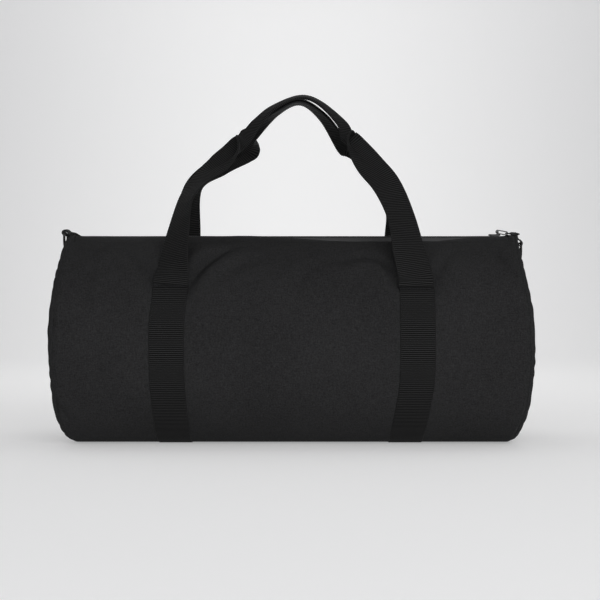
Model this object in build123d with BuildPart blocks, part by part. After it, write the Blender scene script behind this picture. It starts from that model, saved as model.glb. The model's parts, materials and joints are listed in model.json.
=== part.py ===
"""A barrel duffel bag: a sewn canvas barrel with a zip along its top, two webbing handles and end rings.

X runs along the bag, with +X at the end where the closed zip's slider stops. The front faces -Y, +Z is up,
and the origin is on the floor under the middle of the bag. Lengths are in millimetres.
"""
from build123d import *
import os
from math import atan2, cos, degrees, radians, sin, sqrt

os.makedirs("parts", exist_ok=True)

# The barrel
BARREL_RADIUS = 128
BARREL_HALF = 270
BARREL_TOP = 248
WALL = 2
CORNER_RADIUS = 70
DOME_STEPS = [(0, 0), (5, 9), (7, 35)]
BINDING_WIDTH = 2.5
BINDING_DEPTH = 6.8
BINDING_INSET = 5.5
SEAM_GAP = 0.2

# The webbing of the straps and handles
WEB_WIDTH = 40
WEB_THICK = 2.2
STRAP_X = 141
STRAP_TOP = 185

# The mouth, its two flaps and the zip between them
FLAP_HALF = 236
MOUTH_HALF = 50
FLAP_EDGE = 7
GAP = 0.5
TAPE_THICK = 0.8
TAPE_HALF = 20
TAPE_DROP = 0.2
COIL_INNER = 1.2
COIL_OUTER = 3.9
COIL_HEIGHT = 2.3
COIL_ROUND = 0.6
ZIP_END_HALF = 262
ZIP_SPLIT_HALF = 256
STOP_LENGTH = 2.5
STOP_ROUND = 0.8
STOP_GAP = 0.3

# The slider and its puller
SLIDER_X = 246
SLIDER_LENGTH = 14
SLIDER_WIDTH = 11.2
SLIDER_ROUND = 2.5
PLATE = 1.6
PLATE_GAP = 0.4
UNDER_GAP = 0.5
FLANGE = 1.2
FLANGE_LENGTH = 9
POST = 1.2
POST_LENGTH = 4
POST_INSET = 3
BAIL_X = 250
BAIL_RISE = 3.1
BAIL_WIDTH = 6.8
BAIL_LEG = 1.4
BAIL_EYE = 0.96
BAR_RADIUS = 0.8
BAR_HALF = 3.3
LINK_LENGTH = 10.5
LINK_OUTER = 2.5
LINK_INNER = 1.3
LINK_THICK = 2
LINK_DROOP = 10
PIN_RADIUS = 0.9
EAR_THICK = 1
TAB_LENGTH = 18
TAB_HALF_WIDTH = 3.3
TAB_PLATE = 1.4
TAB_WIDEST = 0.45
EAR_ROUND = 1.35
EAR_LENGTH = 3.5
TAB_ROOT = 3
TAB_DROOP = 4

# The handles, in their own leaning planes: x along the bag, s up the plane from the hinge
HINGE_RADIUS = 131
HINGE_Z = 187
APEX_Y = 4.5
APEX_Z = 417
GRIP_HALF = 62
GRIP_THICK = 5
OUTER_EDGE = [(161, 0), (148, 70), (124, 137), (80, 192), (41, 234), (0, 253)]
INNER_EDGE = [(121, 0), (110, 70), (90, 124), (50, 177), (26, 212), (0, 231)]
STITCH_WIDTH = 3
STITCH_THICK = 0.5
STITCH_SIDE = 2
CLEAR = 0.02

# The rings and the tabs that hold them
RING_TAB_WIDTH = 19
RING_TAB_THICK = 4.4
RING_TAB_Y = 14
RING_HOLE = 2
RING_EYE = 3.8
WIRE_RADIUS = 1.5
RING_HALF = 12.5
RING_BEND = 3
RING_LEG = 6
LEFT_TAB_ANGLE = 150
RIGHT_TAB_ANGLE = -55
LEFT_TAB_REACH = 10.3
LEFT_TAB_LENGTH = 9.8
RIGHT_TAB_REACH = 15
RIGHT_TAB_GAP = 0.3
RIGHT_TAB_OVERLAP = 3

centre_z = BARREL_TOP - BARREL_RADIUS
floor_z = WEB_THICK
corner_z = floor_z + CORNER_RADIUS
corner_y = sqrt((BARREL_RADIUS - CORNER_RADIUS) ** 2 - (centre_z - corner_z) ** 2)
corner_turn = degrees(atan2(corner_y, centre_z - corner_z))
tape_top = BARREL_RADIUS - WALL - TAPE_DROP
coil_bottom = centre_z + tape_top
coil_top = coil_bottom + COIL_HEIGHT


def barrel_outline(grow):
    """The barrel's cross-section: a circle resting on a small flat, grown outwards by an amount."""
    with BuildSketch() as outline:
        with BuildLine():
            Line((-corner_y, floor_z - grow), (corner_y, floor_z - grow))
            CenterArc((corner_y, corner_z), CORNER_RADIUS + grow, -90, corner_turn)
            CenterArc((0, centre_z), BARREL_RADIUS + grow, corner_turn - 90, 360 - 2 * corner_turn)
            CenterArc((-corner_y, corner_z), CORNER_RADIUS + grow, -90 - corner_turn, corner_turn)
        make_face()
    return outline.sketch


def save(part, name):
    """Label a finished piece and write it."""
    part.label = name
    export_step(part, f"parts/{name}.step")


# The wrapped sheet of canvas, open at the mouth and slit for the ends of the zip
with BuildPart() as body_panel:
    with BuildSketch(Plane.YZ.offset(-BARREL_HALF)):
        add(barrel_outline(0))
        add(barrel_outline(-WALL), mode=Mode.SUBTRACT)
    extrude(amount=2 * BARREL_HALF)
    with BuildSketch(Plane.XY.offset(centre_z + BARREL_RADIUS / 2)):
        Rectangle(2 * (FLAP_HALF + GAP), 2 * (MOUTH_HALF + WALL / 2 + GAP))
        Rectangle(2 * ZIP_END_HALF, 2 * FLAP_EDGE)
    extrude(amount=BARREL_RADIUS, mode=Mode.SUBTRACT)
save(body_panel.part, "body_panel")

# The round ends, domed outwards, and the tape round each end seam's raw edges inside
for side, end in ((-1, "left"), (1, "right")):
    with BuildPart() as end_panel:
        for rise, inset in DOME_STEPS:
            with BuildSketch(Plane.YZ.offset(side * (BARREL_HALF + rise))):
                add(barrel_outline(-inset))
        loft(ruled=True)
        for rise, inset in DOME_STEPS:
            with BuildSketch(Plane.YZ.offset(side * (BARREL_HALF + rise - (WALL if rise else 0)))):
                add(barrel_outline(-inset - WALL))
        loft(ruled=True, mode=Mode.SUBTRACT)
    save(end_panel.part, f"{end}_end_panel")

    with BuildPart() as seam_binding:
        with BuildSketch(Plane.YZ.offset(side * (BARREL_HALF - BINDING_INSET))):
            add(barrel_outline(-WALL - SEAM_GAP))
            add(barrel_outline(-WALL - SEAM_GAP - BINDING_DEPTH), mode=Mode.SUBTRACT)
        extrude(amount=side * BINDING_WIDTH)
    save(seam_binding.part, f"{end}_seam_binding")

# The straps sewn round the barrel, and the bars of stitching at their four upper ends
for side, end in ((-1, "left"), (1, "right")):
    with BuildPart() as strap:
        with BuildSketch(Plane.YZ.offset(side * STRAP_X - WEB_WIDTH / 2)):
            add(barrel_outline(WEB_THICK))
            add(barrel_outline(0), mode=Mode.SUBTRACT)
            with Locations((0, STRAP_TOP + BARREL_RADIUS)):
                Rectangle(4 * BARREL_RADIUS, 2 * BARREL_RADIUS, mode=Mode.SUBTRACT)
        extrude(amount=WEB_WIDTH)
    save(strap.part, f"{end}_strap")

stitch_z = STRAP_TOP - STITCH_WIDTH
stitch_radius = BARREL_RADIUS + WEB_THICK
stitch_y = sqrt(stitch_radius**2 - (stitch_z - centre_z) ** 2)
with BuildPart() as strap_stitching:
    for front in (-1, 1):
        for side in (-1, 1):
            outward = Vector(0, front * stitch_y, stitch_z - centre_z)
            seat = Plane((side * STRAP_X, front * stitch_y, stitch_z), x_dir=(1, 0, 0), z_dir=outward)
            with BuildSketch(seat.offset(CLEAR)):
                Rectangle(WEB_WIDTH - 2 * STITCH_SIDE, STITCH_WIDTH)
            extrude(amount=STITCH_THICK)
save(strap_stitching.part, "strap_stitching")

# The handles: flat arches of webbing that lean on each other, doubled over at the grip
hinge_y = sqrt(HINGE_RADIUS**2 - (HINGE_Z - centre_z) ** 2)
for front, name in ((-1, "front_handle"), (1, "back_handle")):
    upward = Vector(0, -front * (hinge_y - APEX_Y), APEX_Z - HINGE_Z).normalized()
    lean = Plane((0, front * hinge_y, HINGE_Z), x_dir=(1, 0, 0), z_dir=Vector(1, 0, 0).cross(upward))
    with BuildPart() as handle:
        with BuildSketch(lean) as arch:
            with BuildLine():
                Spline(OUTER_EDGE + [(-x, s) for x, s in OUTER_EDGE[-2::-1]])
                Spline(INNER_EDGE + [(-x, s) for x, s in INNER_EDGE[-2::-1]])
                for side in (-1, 1):
                    Line((side * OUTER_EDGE[0][0], 0), (side * INNER_EDGE[0][0], 0))
            make_face()
        extrude(amount=WEB_THICK / 2, both=True)
        with BuildSketch(lean):
            add(arch.sketch_local)
            Rectangle(2 * GRIP_HALF, 600, mode=Mode.INTERSECT)
        extrude(amount=GRIP_THICK / 2, both=True)
        for side in (-1, 1):
            with BuildSketch(Plane.YZ.offset(side * STRAP_X - WEB_WIDTH / 2)):
                with Locations((front * hinge_y, HINGE_Z)):
                    Circle(WEB_THICK / 2)
            extrude(amount=WEB_WIDTH)
    save(handle.part, name)

# The mouth's flaps, each with its half of the zip's tape and coil; each turns about its rounded edge
flap_hinge_z = centre_z + sqrt((BARREL_RADIUS - WALL / 2) ** 2 - MOUTH_HALF**2)
for front, face in ((-1, "front"), (1, "back")):
    with BuildPart() as mouth_flap:
        with BuildSketch(Plane.YZ.offset(-FLAP_HALF)):
            add(barrel_outline(0))
            add(barrel_outline(-WALL), mode=Mode.SUBTRACT)
            with Locations((front * (MOUTH_HALF + FLAP_EDGE) / 2, BARREL_TOP)):
                Rectangle(MOUTH_HALF - FLAP_EDGE, BARREL_RADIUS, mode=Mode.INTERSECT)
            with Locations((front * MOUTH_HALF, flap_hinge_z)):
                Circle(WALL / 2)
        extrude(amount=2 * FLAP_HALF)
    save(mouth_flap.part, f"{face}_mouth_flap")

    with BuildPart() as zip_tape:
        with BuildSketch(Plane.YZ.offset(-FLAP_HALF)):
            with Locations((0, centre_z)):
                Circle(tape_top)
                Circle(tape_top - TAPE_THICK, mode=Mode.SUBTRACT)
            with Locations((front * (TAPE_HALF + COIL_INNER) / 2, BARREL_TOP)):
                Rectangle(TAPE_HALF - COIL_INNER, BARREL_RADIUS, mode=Mode.INTERSECT)
        extrude(amount=2 * FLAP_HALF)
    save(zip_tape.part, f"{face}_zip_tape")

    with BuildPart() as zip_coil:
        with BuildSketch(Plane.YZ.offset(-FLAP_HALF)):
            with Locations((front * (COIL_OUTER + COIL_INNER) / 2, coil_bottom + COIL_HEIGHT / 2)):
                RectangleRounded(COIL_OUTER - COIL_INNER, COIL_HEIGHT, COIL_ROUND)
        extrude(amount=2 * FLAP_HALF)
    save(zip_coil.part, f"{face}_zip_coil")

# The sewn-down ends of the zip: both tapes and the last of the coil, joined past the split
for side, end in ((-1, "left"), (1, "right")):
    with BuildPart() as zip_end:
        with BuildSketch(Plane.YZ.offset(side * (FLAP_HALF + GAP))):
            with Locations((0, centre_z)):
                Circle(tape_top)
                Circle(tape_top - TAPE_THICK, mode=Mode.SUBTRACT)
            with Locations((0, BARREL_TOP)):
                Rectangle(2 * TAPE_HALF, BARREL_RADIUS, mode=Mode.INTERSECT)
        extrude(amount=side * (ZIP_END_HALF - FLAP_HALF - GAP))
        with BuildSketch(Plane.YZ.offset(side * (FLAP_HALF + GAP))):
            with Locations((0, coil_top)):
                Rectangle(2 * COIL_OUTER, COIL_HEIGHT + TAPE_THICK / 2, align=(Align.CENTER, Align.MAX))
        extrude(amount=side * (ZIP_SPLIT_HALF - FLAP_HALF - GAP))
        with BuildSketch(Plane.YZ.offset(side * (FLAP_HALF + GAP))):
            with Locations((0, coil_top)):
                Rectangle(2 * COIL_INNER, 4 * COIL_HEIGHT)
        extrude(amount=side * (ZIP_SPLIT_HALF - FLAP_HALF - GAP), mode=Mode.SUBTRACT)
    save(zip_end.part, f"{end}_zip_end")

with BuildPart() as zip_stops:
    for side in (-1, 1):
        with BuildSketch(Plane.YZ.offset(side * (ZIP_SPLIT_HALF + STOP_GAP))):
            with Locations((0, coil_bottom + COIL_HEIGHT / 2 + CLEAR)):
                RectangleRounded(2 * COIL_OUTER, COIL_HEIGHT, STOP_ROUND)
        extrude(amount=side * STOP_LENGTH)
save(zip_stops.part, "zip_stops")

# The slider: a plate over the coil and one under the tape, joined by a post, with an arch for the puller
plate_bottom = coil_top + PLATE_GAP
plate_top = plate_bottom + PLATE
under_top = coil_bottom - TAPE_THICK - UNDER_GAP
bail_z = plate_top + BAIL_RISE
with BuildPart() as zip_slider:
    with BuildSketch(Plane.XY.offset(plate_bottom)):
        with Locations((SLIDER_X, 0)):
            RectangleRounded(SLIDER_LENGTH, SLIDER_WIDTH, SLIDER_ROUND)
    extrude(amount=PLATE)
    with BuildSketch(Plane.XY.offset(under_top - PLATE)):
        with Locations((SLIDER_X, 0)):
            RectangleRounded(SLIDER_LENGTH, SLIDER_WIDTH, SLIDER_ROUND)
    extrude(amount=PLATE)
    with BuildSketch(Plane.XY.offset(plate_bottom)):
        for side in (-1, 1):
            with Locations((SLIDER_X, side * (SLIDER_WIDTH - FLANGE) / 2)):
                Rectangle(FLANGE_LENGTH, FLANGE)
    extrude(amount=-COIL_HEIGHT + PLATE_GAP / 2)
    with BuildSketch(Plane.XY.offset(under_top)):
        with Locations((SLIDER_X + SLIDER_LENGTH / 2 - POST_INSET, 0)):
            Rectangle(POST_LENGTH, POST)
    extrude(amount=plate_bottom - under_top)
    for side in (-1, 1):
        with BuildSketch(Plane.XZ.offset(side * (BAIL_WIDTH / 2 - BAIL_LEG / 2) - BAIL_LEG / 2)):
            with Locations((BAIL_X, plate_top)):
                Rectangle(2 * BAIL_EYE, BAIL_RISE, align=(Align.CENTER, Align.MIN))
            with Locations((BAIL_X, bail_z)):
                Circle(BAIL_EYE)
        extrude(amount=BAIL_LEG)
    with BuildSketch(Plane.XZ):
        with Locations((BAIL_X, bail_z)):
            Circle(BAR_RADIUS)
    extrude(amount=BAR_HALF, both=True)
save(zip_slider.part, "zip_slider")

# The puller: an open link round the slider's arch, and a leaf-shaped tab pinned in the link's far end
link_dir = (cos(radians(LINK_DROOP)), 0, -sin(radians(LINK_DROOP)))
link_plane = Plane((BAIL_X, 0, bail_z), x_dir=link_dir, z_dir=(0, -1, 0))
with BuildPart() as puller_link:
    with BuildSketch(link_plane):
        with Locations((LINK_LENGTH / 2, 0)):
            SlotCenterToCenter(LINK_LENGTH, 2 * LINK_OUTER)
            SlotCenterToCenter(LINK_LENGTH, 2 * LINK_INNER, mode=Mode.SUBTRACT)
    extrude(amount=LINK_THICK / 2, both=True)
save(puller_link.part, "puller_link")

pin = link_plane.from_local_coords(Vector(LINK_LENGTH, 0, 0))
tab_dir = (cos(radians(TAB_DROOP)), 0, -sin(radians(TAB_DROOP)))
tab_side = Plane(pin, x_dir=tab_dir, z_dir=(0, -1, 0))
tab_flat = Plane(pin, x_dir=tab_dir, z_dir=(sin(radians(TAB_DROOP)), 0, cos(radians(TAB_DROOP))))
ear_middle = LINK_THICK / 2 + PLATE_GAP + EAR_THICK / 2
with BuildPart() as pull_tab:
    with BuildSketch(tab_side):
        Circle(PIN_RADIUS)
    extrude(amount=LINK_THICK / 2 + PLATE_GAP + EAR_THICK, both=True)
    for side in (-1, 1):
        with BuildSketch(tab_side.offset(side * ear_middle - EAR_THICK / 2)):
            Circle(EAR_ROUND)
            Rectangle(EAR_LENGTH, TAB_PLATE, align=(Align.MIN, Align.CENTER))
        extrude(amount=EAR_THICK)
    with BuildSketch(tab_flat.offset(-TAB_PLATE / 2)):
        with BuildLine():
            neck = LINK_THICK / 2 + PLATE_GAP + EAR_THICK
            widest = TAB_ROOT + TAB_WIDEST * (TAB_LENGTH - TAB_ROOT)
            for side in (-1, 1):
                ThreePointArc((TAB_ROOT, side * neck), (widest, side * TAB_HALF_WIDTH), (TAB_LENGTH, 0))
            Line((TAB_ROOT, -neck), (TAB_ROOT, neck))
        make_face()
    extrude(amount=TAB_PLATE)
save(pull_tab.part, "pull_tab")


# The end rings, and the folded tabs in the end seams that hold them
def ring_and_tab(end, eye_x, eye_z, angle, reach):
    """A tab whose fold holds the ring's straight bar, and the ring hanging from it."""
    along = (cos(radians(angle)), 0, sin(radians(angle)))
    fold = Plane((eye_x, RING_TAB_Y, eye_z), x_dir=along, z_dir=(0, -1, 0))
    with BuildPart() as ring_tab:
        with BuildSketch(fold):
            Circle(RING_EYE)
            Rectangle(reach, RING_TAB_THICK, align=(Align.MAX, Align.CENTER))
            Circle(RING_HOLE, mode=Mode.SUBTRACT)
        extrude(amount=RING_TAB_WIDTH / 2, both=True)
    save(ring_tab.part, f"{end}_ring_tab")

    hang = Plane((eye_x, RING_TAB_Y, eye_z), x_dir=(0, 1, 0), z_dir=(1, 0, 0))
    bar_half = RING_HALF - RING_BEND
    leg_end = -RING_BEND - RING_LEG
    with BuildPart() as d_ring:
        with BuildLine(hang):
            Line((-bar_half, 0), (bar_half, 0))
            CenterArc((bar_half, -RING_BEND), RING_BEND, 0, 90)
            Line((RING_HALF, -RING_BEND), (RING_HALF, leg_end))
            CenterArc((0, leg_end), RING_HALF, 180, 180)
            Line((-RING_HALF, leg_end), (-RING_HALF, -RING_BEND))
            CenterArc((-bar_half, -RING_BEND), RING_BEND, 90, 90)
        with BuildSketch(Plane((eye_x, RING_TAB_Y, eye_z), z_dir=(0, 1, 0))):
            Circle(WIRE_RADIUS)
        sweep()
    save(d_ring.part, f"{end}_d_ring")


left_along = Vector(cos(radians(LEFT_TAB_ANGLE)), 0, sin(radians(LEFT_TAB_ANGLE)))
left_eye = Vector(-BARREL_HALF, 0, BARREL_TOP) + left_along * LEFT_TAB_REACH
ring_and_tab("left", left_eye.X, left_eye.Z, LEFT_TAB_ANGLE, LEFT_TAB_LENGTH)

right_along = Vector(cos(radians(RIGHT_TAB_ANGLE)), 0, sin(radians(RIGHT_TAB_ANGLE)))
right_out = Vector(-right_along.Z, 0, right_along.X)
right_eye = Vector(BARREL_HALF, 0, BARREL_TOP) + right_out * (RING_TAB_THICK / 2 + RIGHT_TAB_GAP)
right_eye = right_eye + right_along * (RIGHT_TAB_REACH - RIGHT_TAB_OVERLAP)
ring_and_tab("right", right_eye.X, right_eye.Z, RIGHT_TAB_ANGLE, RIGHT_TAB_REACH)
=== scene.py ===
"""The looks of a barrel duffel bag: black canvas, ribbed webbing, a coil zip and black metal rings.

Metres, in the CAD model's own frame: X along the bag, the front facing -Y, +Z up from the floor.
The canvas, webbing and zip are grids of points worked out with numpy. Their ribs, stitches, hems, folds
and puckers are in the meshes, and the weave is in the materials.
"""
import json
import math

import bpy
import numpy as np
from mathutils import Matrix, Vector


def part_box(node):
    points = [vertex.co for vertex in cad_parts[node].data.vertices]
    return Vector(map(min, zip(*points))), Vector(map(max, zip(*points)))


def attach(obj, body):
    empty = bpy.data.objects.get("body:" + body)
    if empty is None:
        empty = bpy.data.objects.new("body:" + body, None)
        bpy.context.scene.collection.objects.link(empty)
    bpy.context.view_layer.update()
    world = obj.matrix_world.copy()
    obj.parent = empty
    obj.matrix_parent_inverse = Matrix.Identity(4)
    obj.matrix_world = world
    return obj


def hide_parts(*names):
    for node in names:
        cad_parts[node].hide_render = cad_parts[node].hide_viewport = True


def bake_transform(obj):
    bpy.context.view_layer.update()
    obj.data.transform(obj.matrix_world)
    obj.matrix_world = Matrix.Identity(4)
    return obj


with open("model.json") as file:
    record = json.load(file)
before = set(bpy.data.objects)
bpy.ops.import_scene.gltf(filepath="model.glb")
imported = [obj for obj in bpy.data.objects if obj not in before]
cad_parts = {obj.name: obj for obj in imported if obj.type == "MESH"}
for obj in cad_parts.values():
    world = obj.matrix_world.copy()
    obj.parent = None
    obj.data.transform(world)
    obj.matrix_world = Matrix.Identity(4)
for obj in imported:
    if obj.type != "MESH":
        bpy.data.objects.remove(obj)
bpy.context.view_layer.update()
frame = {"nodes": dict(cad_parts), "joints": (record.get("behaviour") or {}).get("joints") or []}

MM = 0.001

# Sizes read from the frame
panel_lo, panel_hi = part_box("body_panel")
HALF = panel_hi.x
RADIUS = (panel_hi.y - panel_lo.y) / 2
TOP = panel_hi.z
FLOOR = panel_lo.z
CENTRE_Z = TOP - RADIUS
strap_lo, strap_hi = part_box("right_strap")
STRAP_X = (strap_lo.x + strap_hi.x) / 2
WEB_WIDTH = strap_hi.x - strap_lo.x
WEB_THICK = 2.2 * MM
joints = {j["name"]: j for j in frame["joints"]}
HINGE_Y, HINGE_Z = (joints["back_handle_swing"]["pos_m"][i] for i in (1, 2))
FOLD_Y = joints["back_flap_fold"]["pos_m"][1]
coil_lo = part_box("back_zip_coil")[0]
end_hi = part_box("right_zip_end")[1]

# The barrel's flat underside
CORNER_RADIUS = 70 * MM
CORNER_Z = FLOOR + CORNER_RADIUS - CENTRE_Z
CORNER_Y = math.sqrt((RADIUS - CORNER_RADIUS) ** 2 - CORNER_Z**2)

CANVAS_THICK = 1.4 * MM
RIB_PITCH = 2.35 * MM
RIB_HEIGHT = 0.42 * MM
STITCH_PITCH = 3.2 * MM


# ---- camera, light and floor


def make_camera():
    """The view from in front: level, a little under the middle of the handles."""
    data = bpy.data.cameras.new("camera")
    data.lens = 83.1
    data.sensor_width = 36
    camera = bpy.data.objects.new("camera", data)
    camera.location = (0.009, -1.69, 0.170)
    camera.rotation_euler = (math.radians(90), 0, 0)
    bpy.context.scene.collection.objects.link(camera)
    bpy.context.scene.camera = camera


def make_light(name, place, target, size, power, shade=(1, 1, 1)):
    """A square soft light at a place, turned towards a target."""
    data = bpy.data.lights.new(name, "AREA")
    data.shape = "RECTANGLE"
    data.size, data.size_y = size
    data.energy = power
    data.color = shade
    light = bpy.data.objects.new(name, data)
    light.location = place
    light.rotation_euler = (Vector(target) - Vector(place)).to_track_quat("-Z", "Y").to_euler()
    bpy.context.scene.collection.objects.link(light)


def make_stage():
    """A pale round floor that curves up into a wall, soft light from in front and a dim grey sky. The floor's
    colour holds a painted pool of light, and the floor glows with that colour as painted light.
    """
    reach, bend, height = 3.5, 1.2, 3.0
    profile = [(0.002, 0.0), (0.6, 0.0), (reach - bend, 0.0)]
    profile += [
        (reach - bend + bend * math.sin(a), bend - bend * math.cos(a))
        for a in np.linspace(0.1, math.pi / 2, 16)
    ]
    profile.append((reach, height))
    turn = np.linspace(0, 2 * math.pi, 96, endpoint=False)
    points = np.array([[(r * math.sin(a), r * math.cos(a), z) for a in turn] for r, z in profile])
    floor = grid_object("floor", points, closed_v=True)
    material, shader, (tree, node) = new_material("backdrop_painted_light")
    # Painted pool of light: the floor's colour is lightest in front of the bag and darker towards the sides
    # and the camera.
    place = node("ShaderNodeNewGeometry").outputs["Position"]
    painted_light_pool = node("ShaderNodeTexGradient", gradient_type="SPHERICAL")
    light_pool_spread = node("ShaderNodeMapping")
    light_pool_spread.inputs["Location"].default_value = (0, -0.52, -0.18)
    light_pool_spread.inputs["Scale"].default_value = (0.72, 0.26, 0.30)
    link(tree, place, light_pool_spread.inputs["Vector"])
    link(tree, light_pool_spread.outputs["Vector"], painted_light_pool.inputs["Vector"])
    colour = ramp(node, tree, painted_light_pool.outputs["Fac"], (0.56, 0.56, 0.565), (0.84, 0.84, 0.84), 0.0, 0.8)
    link(tree, colour, shader.inputs["Base Color"])
    shader.inputs["Roughness"].default_value = 0.9
    shader.inputs["Specular IOR Level"].default_value = 0.05
    # Painted light: the floor glows with its own colour, which also brightens it in the bag's shade.
    link(tree, colour, shader.inputs["Emission Color"])
    shader.inputs["Emission Strength"].default_value = 0.43
    floor.data.materials.append(material)

    world = bpy.data.worlds.new("studio")
    world.use_nodes = True
    sky = world.node_tree.nodes["Background"]
    sky.inputs["Color"].default_value = (0.96, 0.96, 0.96, 1)
    sky.inputs["Strength"].default_value = 0.30
    bpy.context.scene.world = world
    make_light("front_softbox", (0.55, -2.5, 0.75), (0.05, 0, 0.12), (2.4, 1.3), 40)
    make_light("top_softbox", (0.1, 0.5, 2.3), (0, 0.2, 0), (2.6, 2.0), 6)
    make_light("background_light", (0.0, 0.75, 1.5), (0.05, 3.4, 0.7), (2.4, 0.9), 4)
    view = bpy.context.scene.view_settings
    view.view_transform = "Standard"


# ---- mesh helpers


def grid_object(name, points, uv=None, closed_u=False, closed_v=False):
    """A sheet of quads through a grid of points, shape (nu, nv, 3), with an optional grid of UVs."""
    points = np.asarray(points, float)
    nu, nv = points.shape[:2]
    mesh = bpy.data.meshes.new(name)
    ids = np.arange(nu * nv).reshape(nu, nv)
    iu = np.arange(nu if closed_u else nu - 1)
    iv = np.arange(nv if closed_v else nv - 1)
    u0, v0 = np.meshgrid(iu, iv, indexing="ij")
    u1, v1 = (u0 + 1) % nu, (v0 + 1) % nv
    quads = np.stack([ids[u0, v0], ids[u1, v0], ids[u1, v1], ids[u0, v1]], -1).reshape(-1, 4)
    mesh.from_pydata(points.reshape(-1, 3).tolist(), [], quads.tolist())
    if uv is not None:
        layer = mesh.uv_layers.new(name="cloth")
        flat = np.asarray(uv, float).reshape(-1, 2)[quads.reshape(-1)]
        layer.data.foreach_set("uv", flat.reshape(-1))
    mesh.polygons.foreach_set("use_smooth", [True] * len(mesh.polygons))
    mesh.update()
    obj = bpy.data.objects.new(name, mesh)
    bpy.context.scene.collection.objects.link(obj)
    return obj


def point_value(obj, name, values):
    """A number on each vertex, for the material to read."""
    attribute = obj.data.attributes.new(name, "FLOAT", "POINT")
    attribute.data.foreach_set("value", np.asarray(values, np.float32).reshape(-1))


def grid_normals(points, closed_v=False):
    """Unit normals of a grid of points, by central differences."""

    def difference(axis, closed):
        if closed:
            return np.roll(points, -1, axis) - np.roll(points, 1, axis)
        return np.gradient(points, axis=axis)

    normal = np.cross(difference(0, False), difference(1, closed_v))
    return normal / np.maximum(np.linalg.norm(normal, axis=-1, keepdims=True), 1e-12)


def shell_object(name, outer, uv, thick, closed_v=False):
    """A closed sheet of cloth: the outer grid, an inner one a thickness behind it, and rims between them."""
    inner = outer - grid_normals(outer, closed_v) * thick
    if closed_v:
        loop = np.concatenate([outer, inner[::-1]], 0)
        uvs = np.concatenate([uv, uv[::-1]], 0)
        return grid_object(name, loop, uvs, closed_u=True, closed_v=True)
    loop = np.concatenate([outer, inner[:, ::-1]], 1)
    uvs = np.concatenate([uv, uv[:, ::-1]], 1)
    obj = grid_object(name, loop, uvs, closed_v=True)
    close_ends(obj, loop.shape[0], loop.shape[1])
    return obj


def close_ends(obj, rows, columns):
    """Close the two open ends of a tube of quads made by grid_object."""
    mesh = obj.data
    half = columns // 2
    faces = []
    for row in (0, rows - 1):
        base = row * columns
        for i in range(half - 1):
            quad = [base + i, base + i + 1, base + columns - 2 - i, base + columns - 1 - i]
            faces.append(quad if row else quad[::-1])
    start_loop, start_face = len(mesh.loops), len(mesh.polygons)
    mesh.loops.add(4 * len(faces))
    mesh.polygons.add(len(faces))
    flat = [v for face in faces for v in face]
    mesh.loops.foreach_set("vertex_index", [l.vertex_index for l in mesh.loops[:start_loop]] + flat)
    for i in range(len(faces)):
        mesh.polygons[start_face + i].loop_start = start_loop + 4 * i
    mesh.update(calc_edges=True)
    mesh.validate()


def join_grids(name, parts):
    """One object from several, keeping their UVs and attributes."""
    bpy.ops.object.select_all(action="DESELECT")
    for obj in parts:
        obj.select_set(True)
    bpy.context.view_layer.objects.active = parts[0]
    bpy.ops.object.join()
    parts[0].name = name
    parts[0].data.name = name
    return parts[0]


def tube_points(path, radius, sides):
    """A grid round a path: a ring of points at each of its points."""
    path = np.asarray(path, float)
    tangent = np.gradient(path, axis=0)
    tangent /= np.linalg.norm(tangent, axis=1, keepdims=True)
    side = np.cross(tangent, (0.31, 0.17, 0.93))
    side /= np.linalg.norm(side, axis=1, keepdims=True)
    up = np.cross(side, tangent)
    turn = np.linspace(0, 2 * math.pi, sides, endpoint=False)[None, :, None]
    ring = np.cos(turn) * side[:, None] + np.sin(turn) * up[:, None]
    return path[:, None] + ring * np.reshape(radius, (-1, 1, 1))


def run_along(path):
    """Distance along a line of points, at each of them."""
    return np.concatenate([[0], np.cumsum(np.linalg.norm(np.diff(path, axis=0), axis=1))])


def round_the_axis(x, radius, phi):
    """Points at distances along the bag and from its axis, and angles from the top towards the front."""
    return np.stack([x, -radius * np.sin(phi), CENTRE_Z + radius * np.cos(phi)], -1)


def spline(points, count):
    """Points spaced evenly along a smooth line (Catmull-Rom) through the given rows."""
    p = np.asarray(points, float)
    p = np.concatenate([2 * p[:1] - p[1:2], p, 2 * p[-1:] - p[-2:-1]])
    t = np.linspace(0, 1, 24, endpoint=False)[:, None]
    pieces = []
    for a, b, c, d in zip(p[:-3], p[1:-2], p[2:-1], p[3:]):
        bend = (2 * a - 5 * b + 4 * c - d) * t**2 + (3 * b - a - 3 * c + d) * t**3
        pieces.append(0.5 * (2 * b + (c - a) * t + bend))
    fine = np.concatenate(pieces + [p[-2:-1]])
    run = run_along(fine[:, :2])
    even = np.linspace(0, run[-1], count)
    return np.stack([np.interp(even, run, fine[:, k]) for k in range(fine.shape[1])], 1)


def smoothstep(x):
    """0 below 0, 1 above 1 and a smooth rise between."""
    x = np.clip(x, 0, 1)
    return x * x * (3 - 2 * x)


def stitch_row(path, normal, pitch=STITCH_PITCH, width=0.42 * MM, proud=0.32 * MM):
    """Points of short threads lying along a path: a list of little closed tubes."""
    run = run_along(path)
    threads = []
    for start in np.arange(pitch * 0.3, run[-1] - pitch * 0.8, pitch):
        t = np.linspace(start, start + pitch * 0.72, 5)
        spine = np.stack([np.interp(t, run, path[:, k]) for k in range(3)], 1)
        out = np.stack([np.interp(t, run, normal[:, k]) for k in range(3)], 1)
        dip = np.array([-0.5, 0.55, 0.8, 0.55, -0.5])[:, None] * proud
        size = np.array([0.45, 1, 1, 1, 0.45]) * width
        threads.append(tube_points(spine + out * dip, size, 5))
    return threads


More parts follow.
